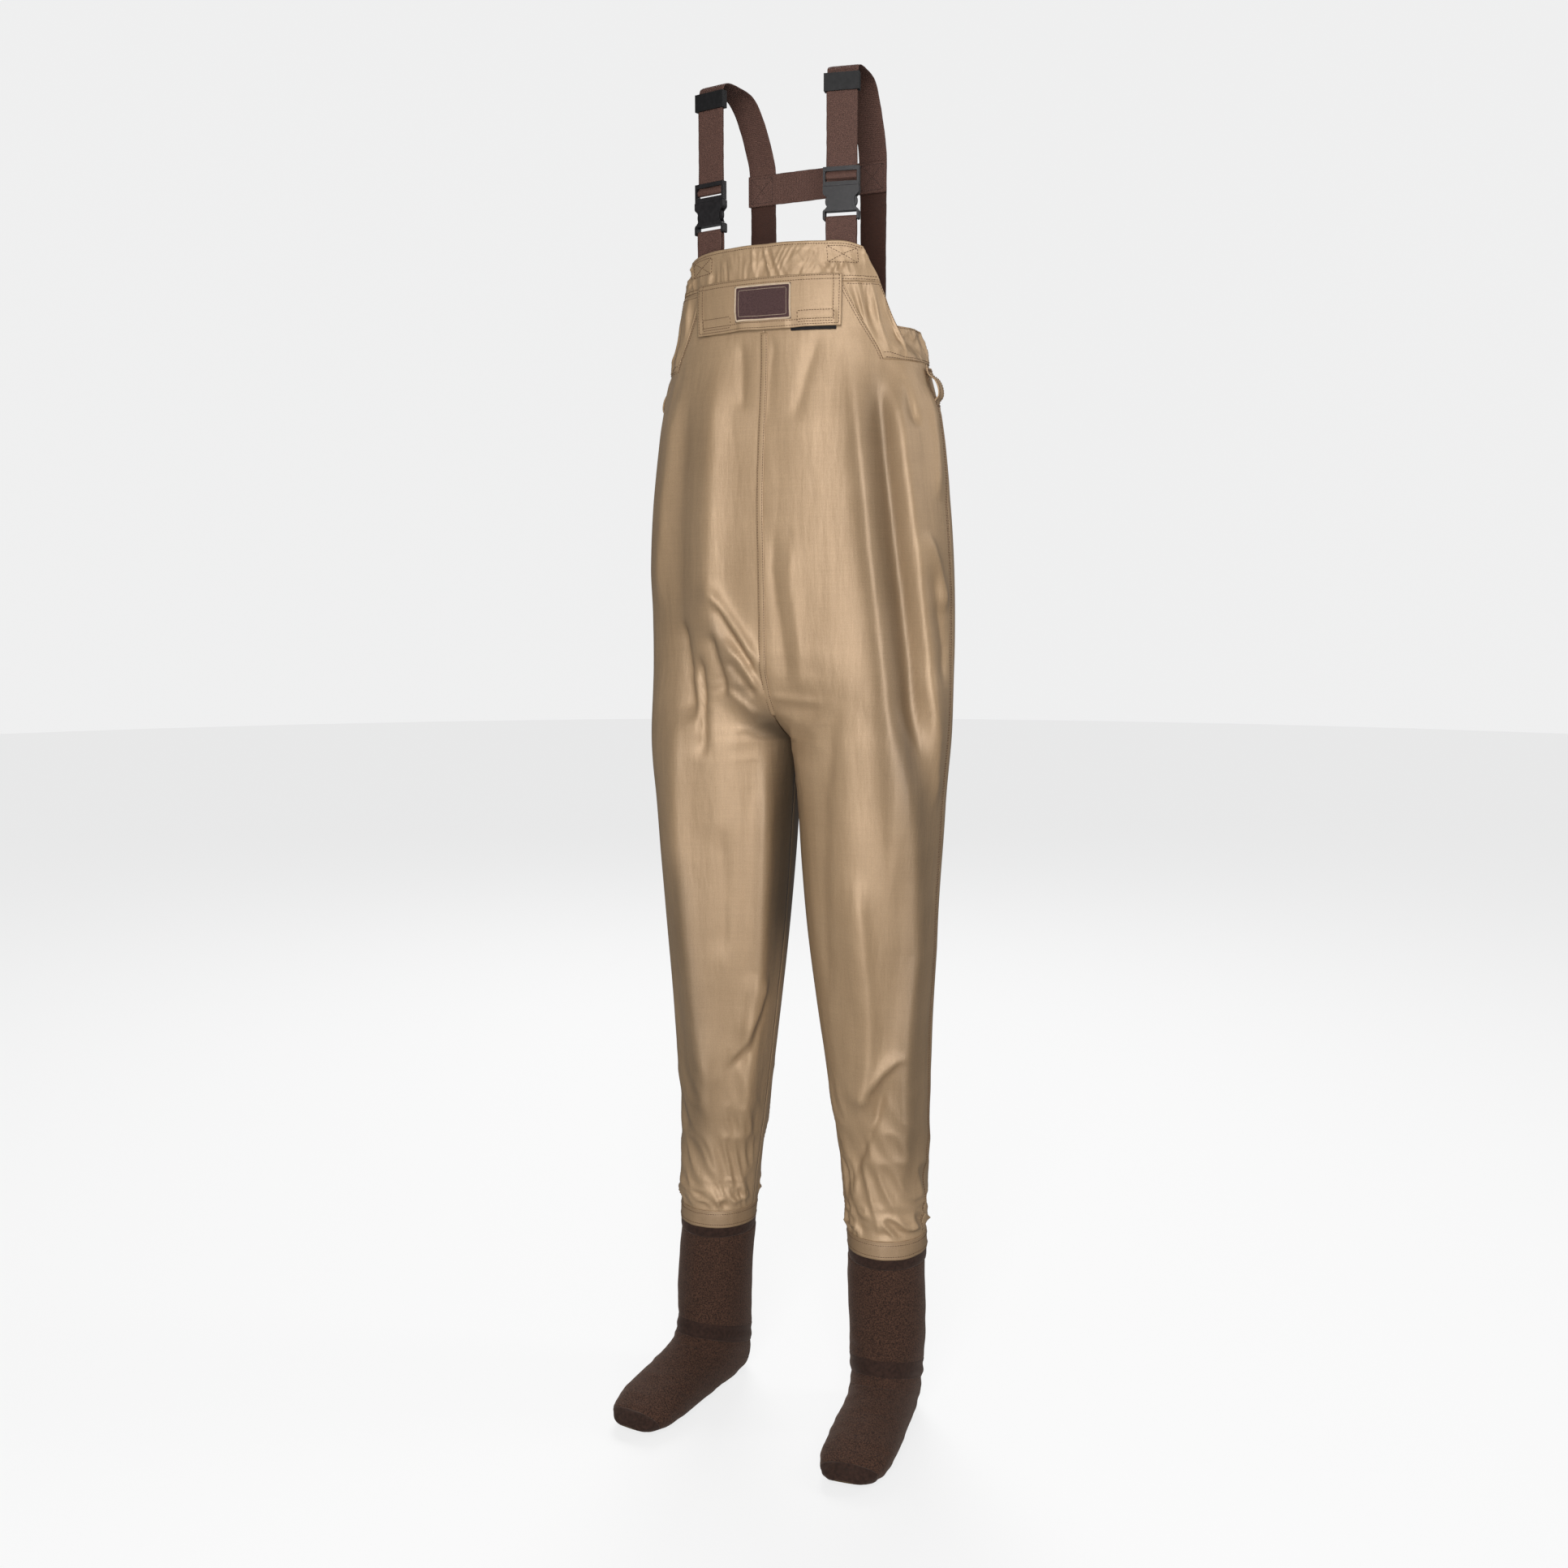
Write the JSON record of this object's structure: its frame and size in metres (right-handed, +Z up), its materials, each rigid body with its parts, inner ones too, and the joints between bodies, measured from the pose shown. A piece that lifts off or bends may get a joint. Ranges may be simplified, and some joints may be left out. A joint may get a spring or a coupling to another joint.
{
  "type": "chest waders",
  "caption": "Stockingfoot chest waders: nylon bib and legs, neoprene feet, webbing braces with side-release buckles, and a flap pocket on the bib.",
  "frame": {"origin": "midway between the undersides of the two shoulder strap crowns, where the waders hang", "axes": "+Z up, -Y towards the front of the wearer, +X towards the wearer's left"},
  "size_m": [0.383, 0.3064, 1.5942],
  "materials": {
    "nylon": "tan coated nylon, satin",
    "label": "woven label, dark brown with a cream border",
    "hook_tape": "black hook-and-loop tape",
    "webbing": "brown ribbed polypropylene webbing",
    "elastic": "dark brown knitted elastic",
    "buckle_plastic": "black acetal, fine spark texture",
    "neoprene": "dark brown knit-faced neoprene",
    "seam_tape": "dark brown bonded seam tape, slightly smoother",
    "sole_neoprene": "olive brown knit-faced neoprene"
  },
  "bodies": {
    "garment": {"chest_band": "nylon", "left_front_panel": "nylon", "right_front_panel": "nylon", "left_back_panel": "nylon", "right_back_panel": "nylon", "left_side_gusset": "nylon", "right_side_gusset": "nylon", "back_band": "nylon", "front_seam_fell": "nylon", "back_seam_fell": "nylon", "left_belt_loop": "nylon", "right_belt_loop": "nylon", "back_belt_loop": "nylon", "left_loop_tab": "hook_tape", "right_loop_tab": "hook_tape", "pocket_bag": "nylon", "back_cross_strap": "webbing", "left_leg_cuff": "nylon", "left_sock_top_tape": "seam_tape", "left_sock_shaft": "neoprene", "left_ankle_tape": "seam_tape", "left_sock_heel": "neoprene", "left_sock_foot": "neoprene", "left_toe_tape": "seam_tape", "left_sock_sole": "sole_neoprene", "left_lower_strap": "webbing", "left_buckle_shell": "buckle_plastic", "left_strap_run": "webbing", "left_strap_tail": "webbing", "left_shoulder_strap": "webbing", "left_back_elastic": "elastic", "right_leg_cuff": "nylon", "right_sock_top_tape": "seam_tape", "right_sock_shaft": "neoprene", "right_ankle_tape": "seam_tape", "right_sock_heel": "neoprene", "right_sock_foot": "neoprene", "right_toe_tape": "seam_tape", "right_sock_sole": "sole_neoprene", "right_lower_strap": "webbing", "right_buckle_shell": "buckle_plastic", "right_strap_run": "webbing", "right_strap_tail": "webbing", "right_shoulder_strap": "webbing", "right_back_elastic": "elastic"},
    "flap": {"pocket_flap": "nylon", "flap_patch": "label", "left_hook_tab": "hook_tape", "right_hook_tab": "hook_tape"},
    "left_buckle_half": {"left_buckle_frame": "buckle_plastic", "left_strap_turn": "webbing"},
    "left_outer_prong": {"left_outer_prong": "buckle_plastic"},
    "left_inner_prong": {"left_inner_prong": "buckle_plastic"},
    "left_keeper": {"left_keeper": "buckle_plastic"},
    "right_buckle_half": {"right_buckle_frame": "buckle_plastic", "right_strap_turn": "webbing"},
    "right_outer_prong": {"right_outer_prong": "buckle_plastic"},
    "right_inner_prong": {"right_inner_prong": "buckle_plastic"},
    "right_keeper": {"right_keeper": "buckle_plastic"}
  },
  "joints": [
    {"name": "flap_lift", "type": "hinge", "parent": "garment", "child": "flap", "pos_m": [0, -0.096, -0.229], "axis": [-1, 0, 0], "range_deg": [0, 150]},
    {"name": "left_buckle_release", "type": "slide", "parent": "garment", "child": "left_buckle_half", "axis": [0, 0, 1], "range_m": [0, 0.034], "deforming": ["left_strap_run", "left_strap_tail"]},
    {"name": "left_outer_prong_flex", "type": "hinge", "parent": "left_buckle_half", "child": "left_outer_prong", "pos_m": [0.0928, -0.0619, -0.1319], "axis": [-0.1908, 0.9816, 0], "range_deg": [0, 6], "stiffness_Nm_per_rad": 1.5},
    {"name": "left_inner_prong_flex", "type": "hinge", "parent": "left_buckle_half", "child": "left_inner_prong", "pos_m": [0.0712, -0.0661, -0.1319], "axis": [0.1908, -0.9816, 0], "range_deg": [0, 6], "stiffness_Nm_per_rad": 1.5},
    {"name": "left_keeper_slide", "type": "slide", "parent": "garment", "child": "left_keeper", "axis": [0, 0, -1], "range_m": [0, 0.045]},
    {"name": "right_buckle_release", "type": "slide", "parent": "garment", "child": "right_buckle_half", "axis": [0, 0, 1], "range_m": [0, 0.034], "deforming": ["right_strap_run", "right_strap_tail"]},
    {"name": "right_outer_prong_flex", "type": "hinge", "parent": "right_buckle_half", "child": "right_outer_prong", "pos_m": [-0.0928, -0.0619, -0.1319], "axis": [-0.1908, -0.9816, 0], "range_deg": [0, 6], "stiffness_Nm_per_rad": 1.5},
    {"name": "right_inner_prong_flex", "type": "hinge", "parent": "right_buckle_half", "child": "right_inner_prong", "pos_m": [-0.0712, -0.0661, -0.1319], "axis": [0.1908, 0.9816, 0], "range_deg": [0, 6], "stiffness_Nm_per_rad": 1.5},
    {"name": "right_keeper_slide", "type": "slide", "parent": "garment", "child": "right_keeper", "axis": [0, 0, -1], "range_m": [0, 0.045]}
  ]
}
